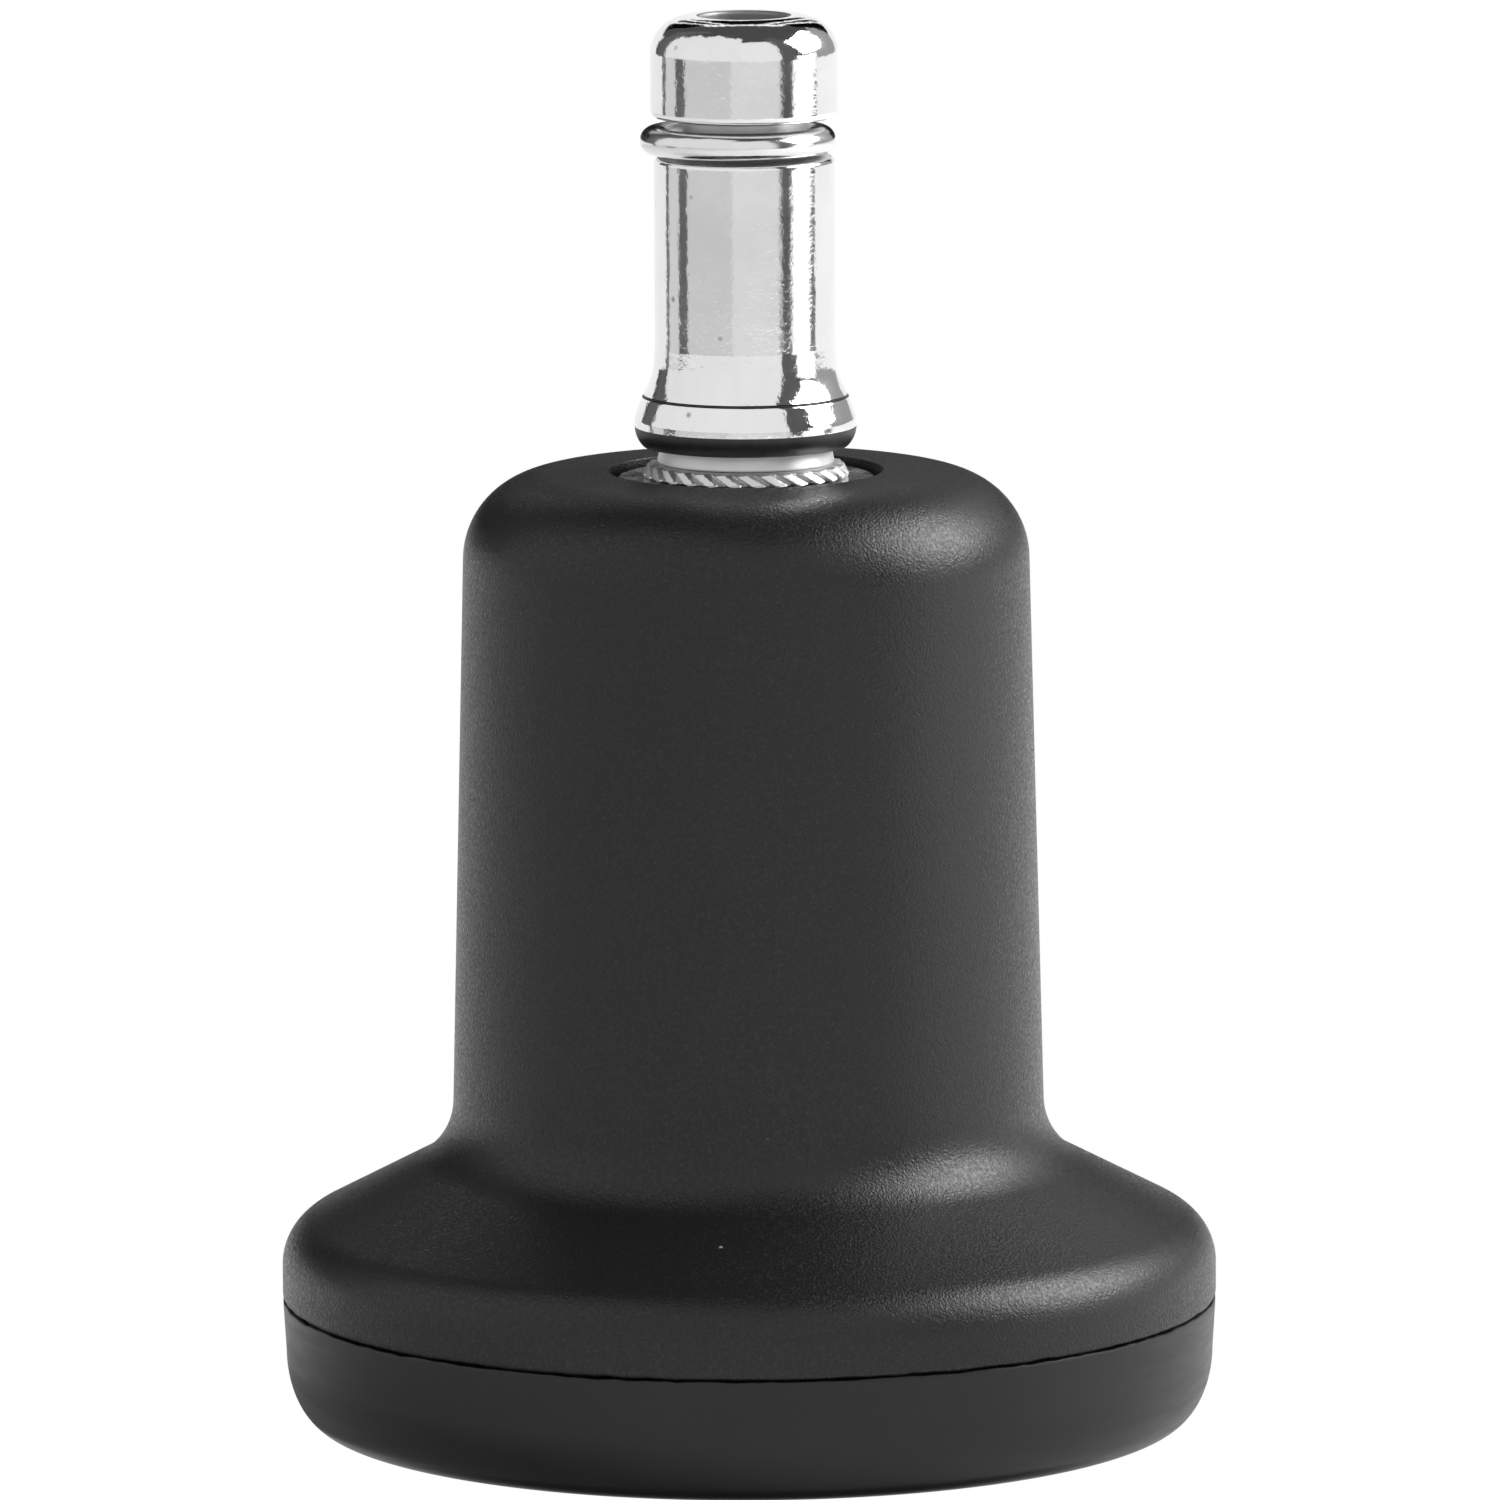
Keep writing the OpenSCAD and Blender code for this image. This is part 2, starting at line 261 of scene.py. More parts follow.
def stem_outline():
    """The stem's section, from the foot of its spigot to the bottom of the hole in its head."""
    foot_edge, neck_edge, shoulder, groove_edge = 0.6, 0.1, 0.25, 0.2
    slot_r, slot_top = spigot_r - clip_slot_depth, clip_slot_z + clip_slot_h
    root = [(0, stem_foot_z), (spigot_r - foot_edge, stem_foot_z), (spigot_r, stem_foot_z + foot_edge)]
    root += [(spigot_r, clip_slot_z), (slot_r, clip_slot_z), (slot_r, slot_top), (spigot_r, slot_top)]
    root += [(spigot_r, neck_z)]
    neck = arc((neck_r + neck_flare - neck_edge, neck_z + 0.12), neck_edge, -90, 8, 4)
    neck += arc((neck_r - neck_flare + neck_edge, collar_z - neck_edge), neck_edge, 190, 110, 4)
    shank = arc((shank_r - shoulder, groove_z - shoulder), shoulder, 0, 90, 8)
    shank += arc((groove_r + groove_edge, groove_z + groove_edge), groove_edge, 270, 180, 4)
    shank += arc((groove_r + groove_edge, head_z - groove_edge), groove_edge, 180, 90, 4)
    return root + neck + collar_outline() + shank + head_outline()


# ---------------------------------------------------------------- mesh building
def make_mesh(name, verts, faces):
    mesh = bpy.data.meshes.new(name)
    mesh.from_pydata(verts, [], faces)
    return mesh


def make_piece(name, verts, faces):
    """An object with smooth shading that keeps its sharp edges, with its faces turned outwards."""
    mesh = make_mesh(name, verts, faces)
    shaped = bmesh.new()
    shaped.from_mesh(mesh)
    bmesh.ops.recalc_face_normals(shaped, faces=shaped.faces)
    if shaped.calc_volume(signed=True) < 0:
        bmesh.ops.reverse_faces(shaped, faces=shaped.faces)
    shaped.to_mesh(mesh)
    shaped.free()
    mesh.shade_smooth()
    mesh.set_sharp_from_angle(angle=SHARP)
    piece = bpy.data.objects.new(name, mesh)
    bpy.context.scene.collection.objects.link(piece)
    return piece


def supported(outline):
    """The outline with two more points close to the ends of each long straight stretch,
    which keep smooth shading from bleeding along it."""
    near, long = 0.08, 0.6
    points = [outline[0]]
    for start, end in zip(outline, outline[1:]):
        gap = math.dist(start, end)
        if gap > long:
            for share in (near / gap, 1 - near / gap):
                points.append(tuple(a + (b - a) * share for a, b in zip(start, end)))
        points.append(end)
    return points


def band(lower, upper, count):
    """The faces between two rings of count points, either of which can be a single point instead."""
    faces = []
    for i in range(count):
        j = (i + 1) % count
        if len(lower) == 1:
            faces.append((lower[0], upper[j], upper[i]))
        elif len(upper) == 1:
            faces.append((lower[i], lower[j], upper[0]))
        else:
            faces.append((lower[i], lower[j], upper[j], upper[i]))
    return faces


def lathe(name, outline, steps=ROUND, shift=None):
    """Turns an outline round Z. One that starts and ends off the axis closes on itself.
    shift(r, angle, z) gives new (r, angle, z) for a point and makes teeth and burrs."""
    verts, rings = [], []
    for r, z in supported(outline):
        if r < NEAR_ZERO:
            rings.append([len(verts)])
            verts.append((0, 0, z * MM))
            continue
        rings.append(list(range(len(verts), len(verts) + steps)))
        for i in range(steps):
            angle = 2 * math.pi * i / steps
            pr, pa, pz = shift(r, angle, z) if shift else (r, angle, z)
            verts.append((pr * math.cos(pa) * MM, pr * math.sin(pa) * MM, pz * MM))
    pairs = list(zip(rings, rings[1:]))
    if len(rings[0]) > 1 and len(rings[-1]) > 1:
        pairs.append((rings[-1], rings[0]))
    faces = [face for lower, upper in pairs for face in band(lower, upper, steps)]
    return make_piece(name, verts, faces)


def blocks(name, rows):
    """Closed blocks. Each runs through its own row of sections, which are equal in shape."""
    verts, faces = [], []
    for sections in rows:
        count = len(sections[0])
        first = len(verts)
        last = first + (len(sections) - 1) * count
        for section in sections:
            verts += section
        faces.append([first + i for i in range(count)])
        faces.append([last + i for i in reversed(range(count))])
        for start in range(first, last, count):
            for i in range(count):
                j = (i + 1) % count
                faces.append((start + i, start + count + i, start + count + j, start + j))
    return make_piece(name, verts, faces)


def plates(name, outline, thickness, angles):
    """Upright plates with one (radius, height) outline, one at each angle about Z, in degrees."""
    rows = []
    for angle in angles:
        turn = Matrix.Rotation(math.radians(angle), 3, "Z")
        sides = (-0.5 * thickness, 0.5 * thickness)
        rows.append([[turn @ Vector((r, side, z)) * MM for r, z in outline] for side in sides])
    return blocks(name, rows)


def arc_blocks(name, outline, span, angles, steps=8):
    """Short turned blocks, each spanning some degrees about Z and centred on one of the angles."""
    rows = []
    for angle in angles:
        spots = [math.radians(angle + span * (k / steps - 0.5)) for k in range(steps + 1)]
        turns = [Matrix.Rotation(spot, 3, "Z") for spot in spots]
        rows.append([[turn @ Vector((r, 0, z)) * MM for r, z in outline] for turn in turns])
    return blocks(name, rows)


def sweep(name, path, radius, sides, ends=3):
    """A round wire along a path of points, with its ends rounded over in some steps."""
    last = len(path) - 1
    tangents = [(path[min(i + 1, last)] - path[max(i - 1, 0)]).normalized() for i in range(last + 1)]

    def rounding(end, bulge):
        """Stations from the tip of one end inwards, as (point, direction, share of the wire's width)."""
        turns = [math.radians(90 * k / ends) for k in range(ends)]
        return [(path[end] + tangents[end] * bulge * math.cos(t), tangents[end], math.sin(t)) for t in turns]

    stations = rounding(0, -radius / 2)
    stations += [(point, tangent, 1.0) for point, tangent in zip(path, tangents)]
    stations += reversed(rounding(last, radius / 2))
    up = Vector((0, 0, 1))
    verts, rings = [], []
    for point, tangent, width in stations:
        side = tangent.cross(up).normalized()
        if width < NEAR_ZERO:
            rings.append([len(verts)])
            verts.append(point * MM)
            continue
        rings.append(list(range(len(verts), len(verts) + sides)))
        for i in range(sides):
            turn = 2 * math.pi * i / sides
            verts.append((point + (side * math.cos(turn) + up * math.sin(turn)) * radius * width) * MM)
    faces = [face for lower, upper in zip(rings, rings[1:]) for face in band(lower, upper, sides)]
    return make_piece(name, verts, faces)


# ---------------------------------------------------------------- material nodes
class Recipe:
    """A material with one Principled shader, and short calls for the nodes that feed it."""

    def __init__(self, name, **values):
        self.material = bpy.data.materials.new(name)
        self.material.use_nodes = True
        self.tree = self.material.node_tree
        self.shader = self.tree.nodes["Principled BSDF"]
        for socket, value in values.items():
            self.shader.inputs[socket.replace("_", " ")].default_value = value
        self.place = self.tree.nodes.new("ShaderNodeTexCoord").outputs["Object"]
        self.normal = None

    def node(self, kind, links, **settings):
        """A new node. Each of its inputs in links is joined to a socket or set to a value."""
        made = self.tree.nodes.new(kind)
        for key, value in settings.items():
            setattr(made, key, value)
        for socket, value in links.items():
            if isinstance(value, bpy.types.NodeSocket):
                self.tree.links.new(value, made.inputs[socket])
            else:
                made.inputs[socket].default_value = value
        return made

    def stretched(self, scale):
        """Places with each axis scaled. A small scale makes a pattern long on that axis."""
        return self.node("ShaderNodeMapping", {"Vector": self.place, "Scale": scale}).outputs["Vector"]

    def noise(self, size_mm, detail=2.0, rough=0.5, place=None):
        """Noise whose lumps are about size_mm across."""
        links = {"Vector": place or self.place, "Scale": 1 / (size_mm * MM)}
        links |= {"Detail": detail, "Roughness": rough}
        return self.node("ShaderNodeTexNoise", links).outputs["Fac"]

    def cells(self, size_mm):
        """Distance to the nearest of a scatter of points, in cells."""
        links = {"Vector": self.place, "Scale": 1 / (size_mm * MM)}
        return self.node("ShaderNodeTexVoronoi", links).outputs["Distance"]

    def remap(self, value, low, high, new_low, new_high):
        """A value between low and high, moved to between new_low and new_high."""
        links = {"Value": value, "From Min": low, "From Max": high, "To Min": new_low, "To Max": new_high}
        return self.node("ShaderNodeMapRange", links).outputs["Result"]

    def blend(self, factor, first, second):
        """A colour between two, the second one where factor is 1."""
        links = {0: factor, 6: first, 7: second}
        return self.node("ShaderNodeMix", links, data_type="RGBA").outputs[2]

    def bump(self, height, depth_um):
        """Raises the surface by depth_um micrometres where height is 1."""
        links = {"Height": height, "Distance": depth_um * UM, "Strength": 1.0}
        if self.normal is not None:
            links["Normal"] = self.normal
        self.normal = self.node("ShaderNodeBump", links).outputs["Normal"]

    def feed(self, socket, value):
        self.tree.links.new(value, self.shader.inputs[socket])

    def done(self):
        if self.normal is not None:
            self.feed("Normal", self.normal)
        return self.material


def grey(value):
    return (value, value, value, 1.0)


def bell_nylon():
    """Black glass-filled nylon with a fine spark-eroded grain and a few pale specks of dust."""
    m = Recipe("bell_nylon", IOR=1.43)
    cloud = m.noise(9, 3)
    grain = m.noise(0.16, 1, 0.5)
    fleck = m.noise(0.2, 1, 0.5)
    pits = m.noise(0.5, 2, 0.6)
    speck = m.remap(m.cells(8.5), 0.010, 0.016, 1.0, 0.0)
    base = m.blend(m.remap(cloud, 0.3, 0.7, 0, 1), (0.0028, 0.0028, 0.0030, 1), (0.0045, 0.0045, 0.0048, 1))
    frost = m.remap(fleck, 0.5, 0.75, 0.0, 1.0)
    m.feed("Base Color", m.blend(speck, m.blend(frost, base, grey(0.011)), grey(0.22)))
    m.feed("Roughness", m.remap(fleck, 0.3, 0.7, 0.52, 0.26))
    m.bump(pits, 13)
    m.bump(grain, 33)
    return m.done()


def cap_nylon():
    """The cap's black nylon: almost the same colour, smoother, with faint rubbed marks."""
    m = Recipe("cap_nylon", IOR=1.43)
    cloud = m.noise(7, 3)
    grain = m.noise(0.3, 2, 0.5)
    rubbed = m.noise(1.5, 4, 0.6, m.stretched((0.25, 0.25, 3.0)))
    base = m.blend(m.remap(cloud, 0.3, 0.7, 0, 1), (0.0030, 0.0030, 0.0032, 1), (0.0048, 0.0048, 0.0050, 1))
    m.feed("Base Color", base)
    m.feed("Roughness", m.remap(rubbed, 0.35, 0.65, 0.36, 0.43))
    m.bump(rubbed, 3)
    m.bump(grain, 7)
    return m.done()


def plated_steel():
    """Bright plating over a turned blank: a mirror with a little orange peel and a few pits."""
    m = Recipe("plated_steel", Metallic=1.0)
    peel = m.noise(1.2, 2, 0.5)
    fine = m.noise(0.35, 2, 0.6)
    cloud = m.noise(3.5, 4, 0.6)
    pit = m.remap(m.cells(3.4), 0.02, 0.07, 0.0, 1.0)
    tone = m.blend(m.remap(cloud, 0.3, 0.7, 0, 1), grey(0.80), grey(0.86))
    m.feed("Base Color", m.blend(pit, grey(0.35), tone))
    m.feed("Roughness", m.remap(cloud, 0.35, 0.65, 0.06, 0.10))
    m.bump(peel, 13)
    m.bump(fine, 10)
    m.bump(pit, 5)
    return m.done()


def cloudy_metal(name, cloud, tones, spread, gloss):
    """A metal whose tone and roughness vary in clouds. cloud is (size in mm, detail), tones are two
    greys, and gloss is the roughness at the two ends of the cloud's middle part, spread either way."""
    m = Recipe(name, Metallic=1.0)
    clouds = m.noise(*cloud, 0.6)
    m.feed("Base Color", m.blend(clouds, *[grey(tone) for tone in tones]))
    m.feed("Roughness", m.remap(clouds, 0.5 - spread, 0.5 + spread, *gloss))
    return m


def bare_bore():
    """The unplated, dull grey inside of the hole in the stem's head."""
    m = cloudy_metal("bare_bore", (1.4, 3), (0.20, 0.34), 0.2, (0.45, 0.6))
    m.bump(m.noise(0.4), 8)
    return m.done()


def spring_wire():
    """Plated spring wire with fine marks."""
    m = cloudy_metal("spring_wire", (1.6, 3), (0.70, 0.82), 0.15, (0.12, 0.20))
    m.bump(m.noise(0.9, place=m.stretched((1, 1, 3))), 8)
    return m.done()


def painted_shade_steel():
    """Painted shade: dark, dull metal for the crease and the collar's downward faces, standing in for the
    shade there and the black crown reflected in them.
    """
    m = cloudy_metal("painted_shade_steel", (1.4, 3), (0.04, 0.09), 0.2, (0.38, 0.5))
    m.bump(m.noise(0.4), 6)
    return m.done()


def satin_steel():
    """Satin plating on the neck, in the groove and on the lock washer."""
    m = cloudy_metal("satin_steel", (1.2, 3), (0.62, 0.74), 0.15, (0.42, 0.50))
    m.bump(m.noise(0.6), 5)
    return m.done()


def stamped_washer():
    """Bright stamped washer steel, a little duller than the stem."""
    m = cloudy_metal("stamped_washer", (1.2, 3), (0.72, 0.86), 0.15, (0.18, 0.28))
    m.bump(m.noise(0.6), 6)
    return m.done()


def oiled_steel():
    """Dark oiled steel for the pieces sealed inside."""
    m = cloudy_metal("oiled_steel", (2.5, 4), (0.30, 0.48), 0.2, (0.25, 0.45))
    m.bump(m.noise(0.4), 4)
    return m.done()


# ---------------------------------------------------------------- pieces
def settle(piece, body, node, material):
    """Makes a piece stand for a CAD node: its body, slot and material."""
    piece.data.materials.append(material)
    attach(piece, body)
    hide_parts(node)


def ragged_seam(side):
    """A shift for lathe() that roughens a moulded edge at the seam. side is 1 above it and -1 below."""
    reach, deep = 0.35, 0.15               # how far from the seam, and how deep
    coarse, fine = 26, 75                  # how many waves go into one radian

    def shift(r, angle, z):
        near = max(0.0, 1 - abs(z - seam_z) / reach) if r > base_r - 1 else 0.0
        if near > 0:
            spot = Vector((math.cos(angle), math.sin(angle), 0.3 * side))
            wave = noise.noise(spot * coarse) * 0.7 + noise.noise(spot * fine) * 0.5
            z += side * near * deep * max(-0.25, wave)
            r -= near * deep * 0.5 * abs(wave)
        return r, angle, z

    return shift


def make_bell(material):
    """The shell, and the ribs inside it, which run a little way into its walls."""
    shell = lathe("bell_shell", bell_outline(), shift=ragged_seam(1))
    settle(shell, "foot", "bell_housing", material)
    in_wall, in_flare, in_web = 0.8, 0.5, 1
    foot_r = column_at(seam_z) - wall + in_wall
    top_r = column_at(web_z) - wall + in_wall
    toe_r = base_r - 7
    rib_in_r, rib_low_z = 10.5, 22
    outline = [(boss_r - 1, web_z + in_web), (boss_r - 1, boss_z + 2.5), (rib_in_r, boss_z - 1.5)]
    outline += [(rib_in_r, rib_low_z), (foot_r - 1.5, seam_z + 5.5), (toe_r, inner_flare(toe_r) + in_flare)]
    outline += [(foot_r, inner_flare(foot_r) + in_flare), (top_r, web_z - 2), (top_r - 1, web_z + in_web)]
    ribs = plates("bell_ribs", outline, rib_t, [360 * i / rib_count for i in range(rib_count)])
    settle(ribs, "foot", "bell_housing", material)


def make_cap(material):
    """The shell, with a ring, ribs and snap hooks that stand on its floor."""
    shell = lathe("cap_shell", cap_outline(), shift=ragged_seam(-1))
    settle(shell, "foot", "base_cap", material)
    rib_low, rib_top, in_wall = cap_floor - 0.3, seam_z - 1.2, 0.5
    ring = [(cap_ring_r - cap_rib_t, rib_low), (cap_ring_r, rib_low)]
    ring += [(cap_ring_r, rib_top), (cap_ring_r - cap_rib_t, rib_top)]
    settle(lathe("cap_ring", ring, ROUND_HIDDEN), "foot", "base_cap", material)
    outline = [(cap_ring_r - in_wall, rib_low), (cap_wall_r + in_wall, rib_low)]
    outline += [(cap_wall_r + in_wall, rib_top), (cap_ring_r - in_wall, rib_top)]
    ribs = plates("cap_ribs", outline, cap_rib_t, [360 * i / hook_count for i in range(hook_count)])
    settle(ribs, "foot", "base_cap", material)
    barb = [(hook_out - hook_t, rib_low), (hook_out, rib_low), (hook_out, hook_top - 1.1)]
    barb += [(hook_out + hook_bead, hook_top - 0.9), (hook_out + hook_bead, hook_top - 0.6)]
    barb += [(hook_out - 0.3, hook_top), (hook_out - hook_t, hook_top)]
    middles = [360 * (i - 0.5) / hook_count for i in range(hook_count)]
    hooks = arc_blocks("cap_hooks", barb, hook_angle, middles)
    settle(hooks, "foot", "base_cap", material)


def make_stem(material, bore_material, painted_shade_material, satin_material):
    """Plated all over, but dull in the hole, with painted shade in the crease and under the collar,
    and satin on the neck and in the groove."""
    stem = lathe("turned_stem", stem_outline(), ROUND_SMALL)
    settle(stem, "spindle", "stem", material)
    mouth_r = hole_r + 0.22                # the dull hole ends at this radius
    groove_edge_r = head_r - 0.35
    under_top = collar_z + 1.25            # the painted shade under the collar ends at this height
    crease_low, crease_high = crease_z - 0.07, crease_z + 0.10
    for other in (bore_material, painted_shade_material, satin_material):
        stem.data.materials.append(other)
    for face in stem.data.polygons:
        place = face.center / MM
        reach = place.xy.length
        in_hole = place.z > top_z - hole_depth - hole_r and reach < mouth_r
        # painted shade: downward faces under the collar, and the crease, take the dark material
        under_collar = collar_z - 0.01 < place.z < under_top and face.normal.z < -0.02
        in_crease = crease_low < place.z < crease_high and reach > shank_r
        in_groove = groove_z - 0.01 < place.z < head_z + 0.15 and reach < groove_edge_r
        if in_hole:
            face.material_index = 1
        elif under_collar or in_crease:
            face.material_index = 2
        elif in_groove or neck_z < place.z < collar_z:
            face.material_index = 3
    return stem


def make_grip_ring(material):
    """The wire lies in its groove, off the axis, with its opening towards +Y."""
    centre = Vector((ring_x, 0, ring_z))
    lean = Matrix.Rotation(-ring_lean, 3, "X")
    back, steps, sides = 90, 120, 40
    start = back + ring_gap / 2 + ring_tip
    stop = back + 360 - ring_gap / 2 - ring_tip
    path = []
    for i in range(steps + 1):
        turn = math.radians(start + (stop - start) * i / steps)
        path.append(centre + lean @ Vector((math.cos(turn), math.sin(turn), 0)) * ring_middle_r)
    ring = sweep("grip_ring_wire", path, wire_d / 2, sides)
    settle(ring, "ring", "grip_ring", material)


def make_lock_washer(material):
    """A steep cone with slanted notches: each runs down to the right."""
    deep, half_width = 0.50, 0.26          # a notch's depth, and half its width as a share of the pitch
    slant = 1.15                           # how far a notch runs sideways, in pitches for each mm of height
    twist = 0.20                           # height that a tooth rises across the pitch
    band_low, band_high, band_rows = washer_z + 0.22, neck_z - 0.12, 10
    neck_side_r = neck_r + neck_flare - 0.02

    def teeth(r, angle, z):
        reach = min(1.0, max(0.0, (r - tooth_root_r) / (tooth_r - tooth_root_r)))
        phase = (angle * tooth_count / (2 * math.pi) + slant * (z - washer_z)) % 1.0
        notch = max(0.0, 1 - (abs(phase - 0.5) / half_width) ** 2)
        rise = (phase + 0.5) % 1.0 - 0.5
        return r - reach * deep * notch, angle, z + reach * twist * rise * (1 - notch)

    outline = [(bore_r, washer_z), (5.4, washer_z), (5.8, washer_z + 0.06), (tooth_r - 0.05, washer_z + 0.12)]
    for i in range(band_rows + 1):
        share = i / band_rows
        outline.append((tooth_r - 0.3 * share, band_low + (band_high - band_low) * share))
    outline += [(neck_side_r, neck_z), (bore_r, neck_z)]
    washer = lathe("lock_washer", outline, tooth_count * 20, teeth)
    settle(washer, "spindle", "tooth_washer", material)


def make_flat_washer(material):
    """A flat ring with its outer edges broken, more rounded on top."""
    low, high, edge, bore_edge = flat_low.z, flat_high.z, 0.2, 0.1
    outer_r = flat_high.x
    outline = [(bore_r, low), (outer_r - edge, low), (outer_r, low + edge)]
    outline += arc((outer_r - edge, high - edge), edge, 0, 90, 6)
    outline += [(bore_r + bore_edge, high), (bore_r, high - bore_edge)]
    washer = lathe("flat_washer", outline, ROUND_SMALL)
    settle(washer, "spindle", "crown_washer", material)


def dress_inner(material):
    """The two sealed pieces keep their CAD shape."""
    for node in ("keeper_washer", "retaining_clip"):
        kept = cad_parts[node]
        kept.data.materials.clear()
        kept.data.materials.append(material)


# ---------------------------------------------------------------- studio
STUDIO_Z = 0.07                            # height of the studio's middle, in metres like all of it
WALL_R = 0.70
FLAG_R = 0.69
CARD_STEP = 6                              # degrees between two rows of a plain card
FRAYED_STEP = 0.09                         # degrees between two rows of a frayed one


def glow(name, strength):
    """A plain emitting material for a studio card."""
    material = bpy.data.materials.new(name)
    material.use_nodes = True
    nodes, links = material.node_tree.nodes, material.node_tree.links
    nodes.clear()
    light = nodes.new("ShaderNodeEmission")
    light.inputs["Strength"].default_value = strength
    links.new(light.outputs[0], nodes.new("ShaderNodeOutputMaterial").inputs[0])
    return material


def card(name, azimuths, elevations, strength, radius=WALL_R, lean=(0, 0), ragged=0):
    """A curved card round the object, between two azimuths (0 is -Y, 90 is +X) and two elevations.
    lean moves the upper ends of its two sides, and ragged frays both sides by some degrees.
    The camera doesn't see it."""
    row_step = FRAYED_STEP if ragged else CARD_STEP
    across = max(1, round(abs(azimuths[1] - azimuths[0]) / CARD_STEP))
    upward = max(1, round(abs(elevations[1] - elevations[0]) / row_step))
    fray_pace, left_fray, right_fray = 0.43, 0.5, 7.5
    verts, faces = [], []
    for k in range(upward + 1):
        rise = math.radians(elevations[0] + (elevations[1] - elevations[0]) * k / upward)
        left, right = (azimuths[side] + lean[side] * k / upward for side in (0, 1))
        left += ragged * noise.noise(Vector((k * fray_pace, left_fray, 0)))
        right += ragged * noise.noise(Vector((k * fray_pace, right_fray, 0)))
        for i in range(across + 1):
            turn = math.radians(left + (right - left) * i / across)
            flat = math.cos(rise) * radius
            verts.append((flat * math.sin(turn), -flat * math.cos(turn), STUDIO_Z + math.sin(rise) * radius))
    for k in range(upward):
        for i in range(across):
            a = k * (across + 1) + i
            faces.append((a, a + 1, a + across + 2, a + across + 1))
    mesh = make_mesh(name, verts, faces)
    mesh.materials.append(glow(name, strength))
    made = bpy.data.objects.new(name, mesh)
    bpy.context.scene.collection.objects.link(made)
    made.visible_camera = False
    made.visible_shadow = False
    return made


def make_studio(stem, others):
    """White tent with a dark top, dark flags in front of its walls, and one softbox on the right.
    Behind the object, the stem and the other pieces each have cards of their own. Each card's line
    holds its name, two azimuths, two elevations and its strength, and a flag's its lean and fraying too."""
    split = -2.6                           # elevation where the low cards end and the high ones start
    low = (-45, split)
    walls = [
        ("low_left_back", (-180, -118), low, 0.95),
        ("low_left", (-118, -87), low, 0.70),
        ("low_front_left", (-87, -16), low, 0.66),
        ("low_front_right", (-16, 55), low, 0.78),
        ("low_right", (55, 99), low, 1.35),
        ("low_right_back", (99, 180), low, 1.05),
        ("left_back", (-118, -104), (split, 44), 0.88),
        ("left", (-104, -84), (split, 58), 0.88),
        ("front_left", (-84, -5), (split, 72), 0.90),
        ("front_right", (-5, 47), (split, 57), 0.93),
        ("right_low", (68, 99), (split, 8), 1.5),
        ("right_far", (99, 150), (split, 40), 0.36),
    ]
    for name, azimuths, elevations, strength in walls:
        card("wall_" + name, azimuths, elevations, strength)
    not_stem = [
        ("left_panel", (-180, -138), (split, 20), 3.7),
        ("left_top", (-180, -150), (20, 44), 0.45),
        ("right_panel", (150, 180), (split, 14), 2.2),
        ("right_top", (150, 180), (14, 44), 0.45),
    ]
    stem_only = [
        ("stem_left", (-180, -138), (split, 20), 0.97),
        ("stem_left_top", (-180, -163), (20, 50), 1.15),
        ("stem_right", (150, 180), (split, 14), 0.97),
        ("stem_right_top", (163, 180), (14, 50), 1.15),
    ]
    for seen_by, cards in ((others, not_stem), ([stem], stem_only)):
        receivers = bpy.data.collections.new("receivers")
        for piece in seen_by:
            receivers.objects.link(piece)
        for name, azimuths, elevations, strength in cards:
            made = card("back_" + name, azimuths, elevations, strength)
            made.light_linking.receiver_collection = receivers
    flags = [
        ("left_line", (-119.5, -113), low, 0.16, (0, 0), 0),
        ("left_bar", (-93, -78.5), low, 0.13, (0, 0), 0),
        ("right_bar", (46, 62), (-45, -9), 0.12, (0, 0), 0),
        ("right_bar_top", (46.5, 61.5), (-9, split), 0.11, (0, 0), 6),
        ("right_gap", (90, 101), (-45, -7.5), 0.12, (0, 0), 0),
        ("right_gap_tip", (90, 101), (-7.5, -5.2), 0.16, (7.5, -1.5), 0),
        ("left_high", (-132, -114), (split, 66), 0.12, (0, 0), 0),
        ("right_high", (47, 68), (split, 66), 0.11, (0, 0), 0),
    ]
    for name, azimuths, elevations, strength, lean, ragged in flags:
        card("flag_" + name, azimuths, elevations, strength, FLAG_R, lean, ragged)

    softbox = bpy.data.lights.new("softbox", "AREA")
    softbox.shape = "RECTANGLE"
    softbox.size, softbox.size_y = 0.60, 0.48
    softbox.energy = 8.1
    lamp = bpy.data.objects.new("softbox", softbox)
    turn, rise, far = math.radians(101), math.radians(32), 0.66
    toward = Vector((math.cos(rise) * math.sin(turn), -math.cos(rise) * math.cos(turn), math.sin(rise)))
    lamp.location = toward * far + Vector((0, 0, STUDIO_Z))
    lamp.rotation_euler = toward.to_track_quat("Z", "Y").to_euler()
    lamp.visible_camera = False
    bpy.context.scene.collection.objects.link(lamp)


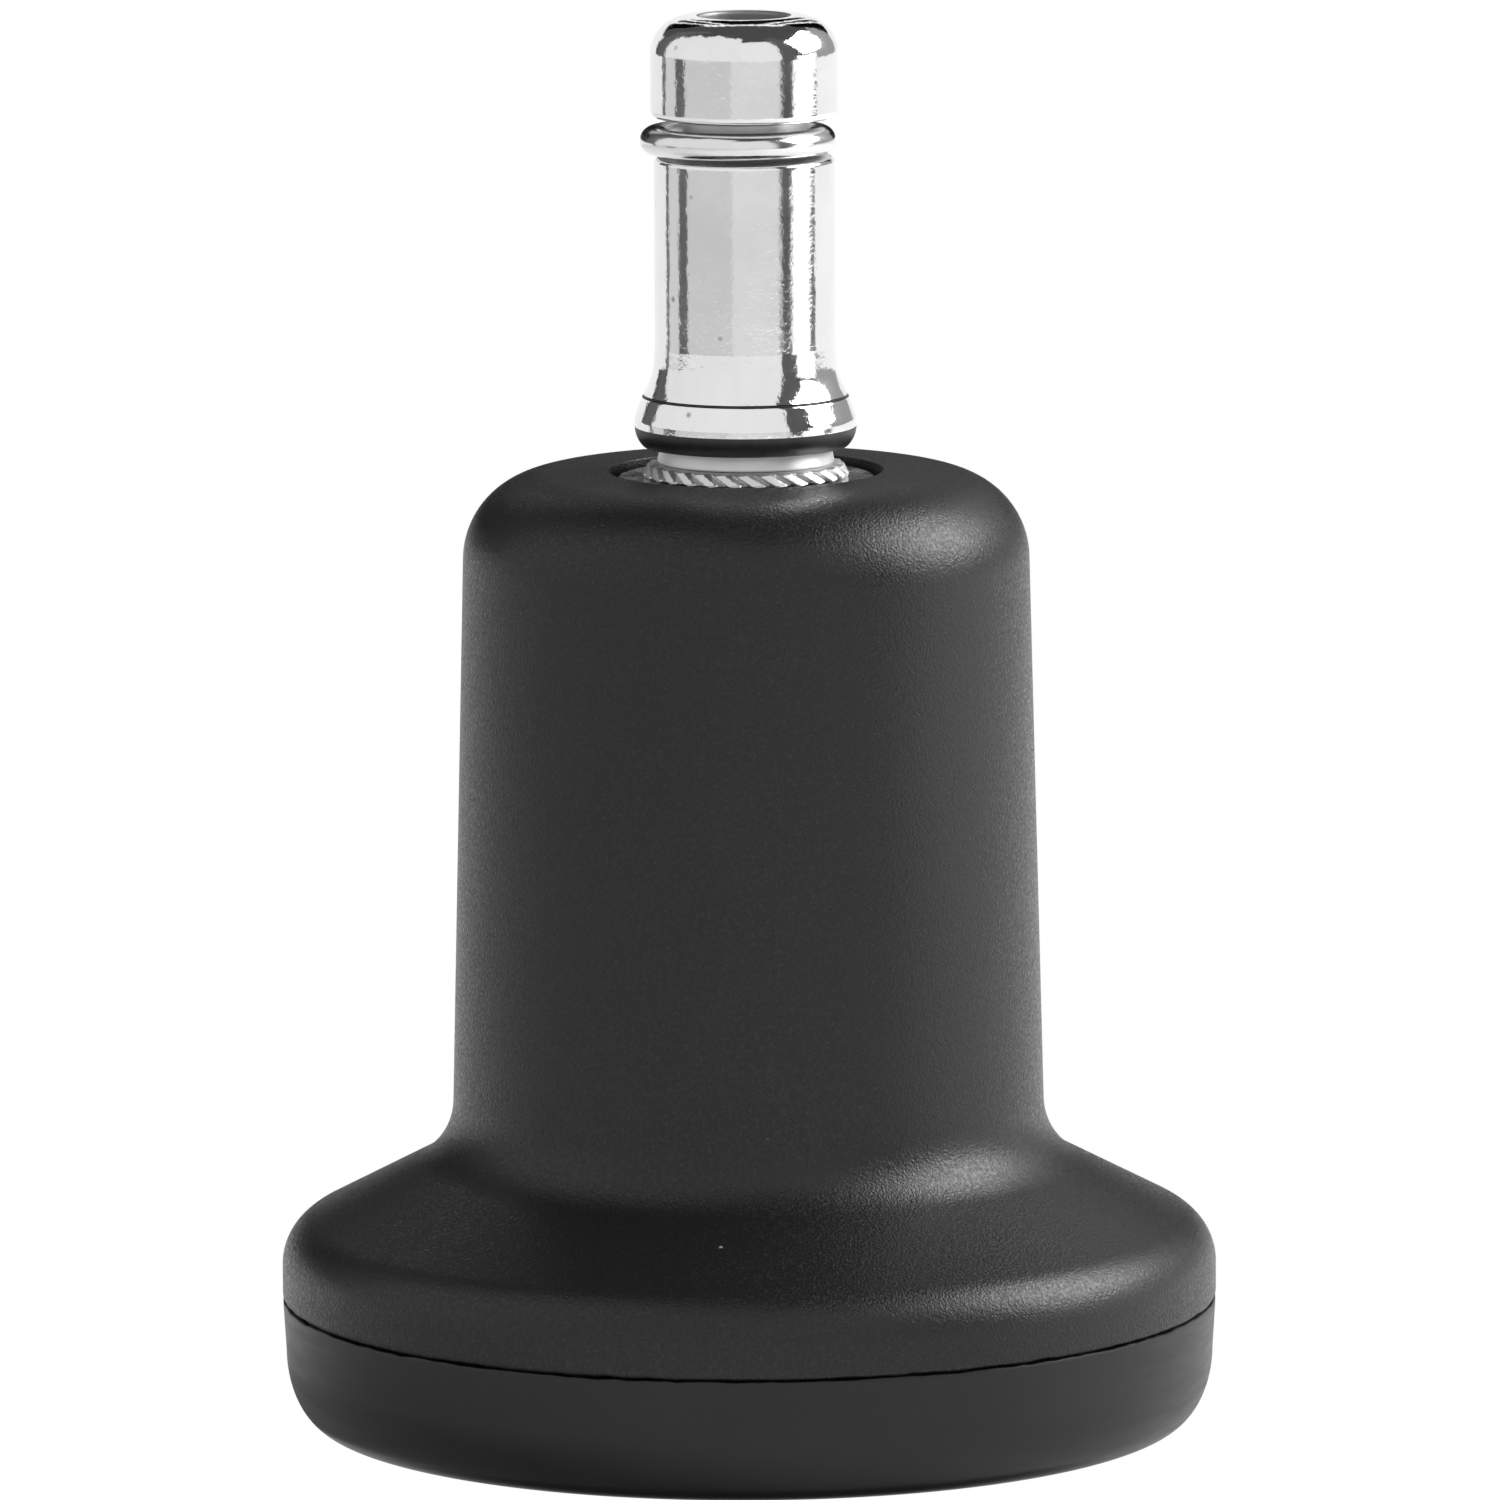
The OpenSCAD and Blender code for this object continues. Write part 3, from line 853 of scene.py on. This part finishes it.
def make_world():
    """White to the camera and a dark grey to every other ray."""
    world = bpy.data.worlds.new("studio")
    world.use_nodes = True
    tree = world.node_tree
    tree.nodes.clear()
    seen, unseen = tree.nodes.new("ShaderNodeBackground"), tree.nodes.new("ShaderNodeBackground")
    seen.inputs["Color"].default_value = grey(1.0)
    unseen.inputs["Color"].default_value = grey(0.075)
    mix = tree.nodes.new("ShaderNodeMixShader")
    tree.links.new(tree.nodes.new("ShaderNodeLightPath").outputs["Is Camera Ray"], mix.inputs[0])
    tree.links.new(unseen.outputs[0], mix.inputs[1])
    tree.links.new(seen.outputs[0], mix.inputs[2])
    tree.links.new(mix.outputs[0], tree.nodes.new("ShaderNodeOutputWorld").inputs[0])
    bpy.context.scene.world = world


def make_floor():
    """A white floor that the object's reflections see, open under the cap. The camera doesn't see it."""
    steps, inner, outer, drop = 96, 0.0272, 0.42, -0.00005
    turns = [2 * math.pi * i / steps for i in range(steps)]
    verts = [(r * math.cos(t), r * math.sin(t), drop) for r in (inner, outer) for t in turns]
    faces = [(i, steps + i, steps + (i + 1) % steps, (i + 1) % steps) for i in range(steps)]
    mesh = make_mesh("floor", verts, faces)
    material = bpy.data.materials.new("floor_white")
    material.use_nodes = True
    shader = material.node_tree.nodes["Principled BSDF"]
    shader.inputs["Base Color"].default_value = grey(0.8)
    shader.inputs["Roughness"].default_value = 1.0
    shader.inputs["Specular IOR Level"].default_value = 0.0
    mesh.materials.append(material)
    floor = bpy.data.objects.new("floor", mesh)
    floor.visible_camera = False
    bpy.context.scene.collection.objects.link(floor)


def make_camera():
    """A long lens a little above the foot, from -Y, rolled a quarter of a degree."""
    lens = bpy.data.cameras.new("camera")
    lens.sensor_width = 36.0
    lens.lens = 373.9
    lens.clip_start, lens.clip_end = 0.01, 20.0
    eye = bpy.data.objects.new("camera", lens)
    bpy.context.scene.collection.objects.link(eye)
    place, down, roll = (0.00018, -0.9397, 0.1844), math.radians(8.65), math.radians(-0.246)
    turn = Matrix.Rotation(math.pi / 2 - down, 4, "X") @ Matrix.Rotation(roll, 4, "Z")
    eye.matrix_world = Matrix.Translation(place) @ turn
    bpy.context.scene.camera = eye


bpy.context.scene.view_settings.view_transform = "Standard"
make_camera()
make_world()
make_floor()

make_bell(bell_nylon())
make_cap(cap_nylon())
satin = satin_steel()
stem = make_stem(plated_steel(), bare_bore(), painted_shade_steel(), satin)
make_grip_ring(spring_wire())
make_lock_washer(satin)
make_flat_washer(stamped_washer())
dress_inner(oiled_steel())
others = [piece for piece in bpy.context.scene.objects if piece.type == "MESH" and piece != stem]
make_studio(stem, others)
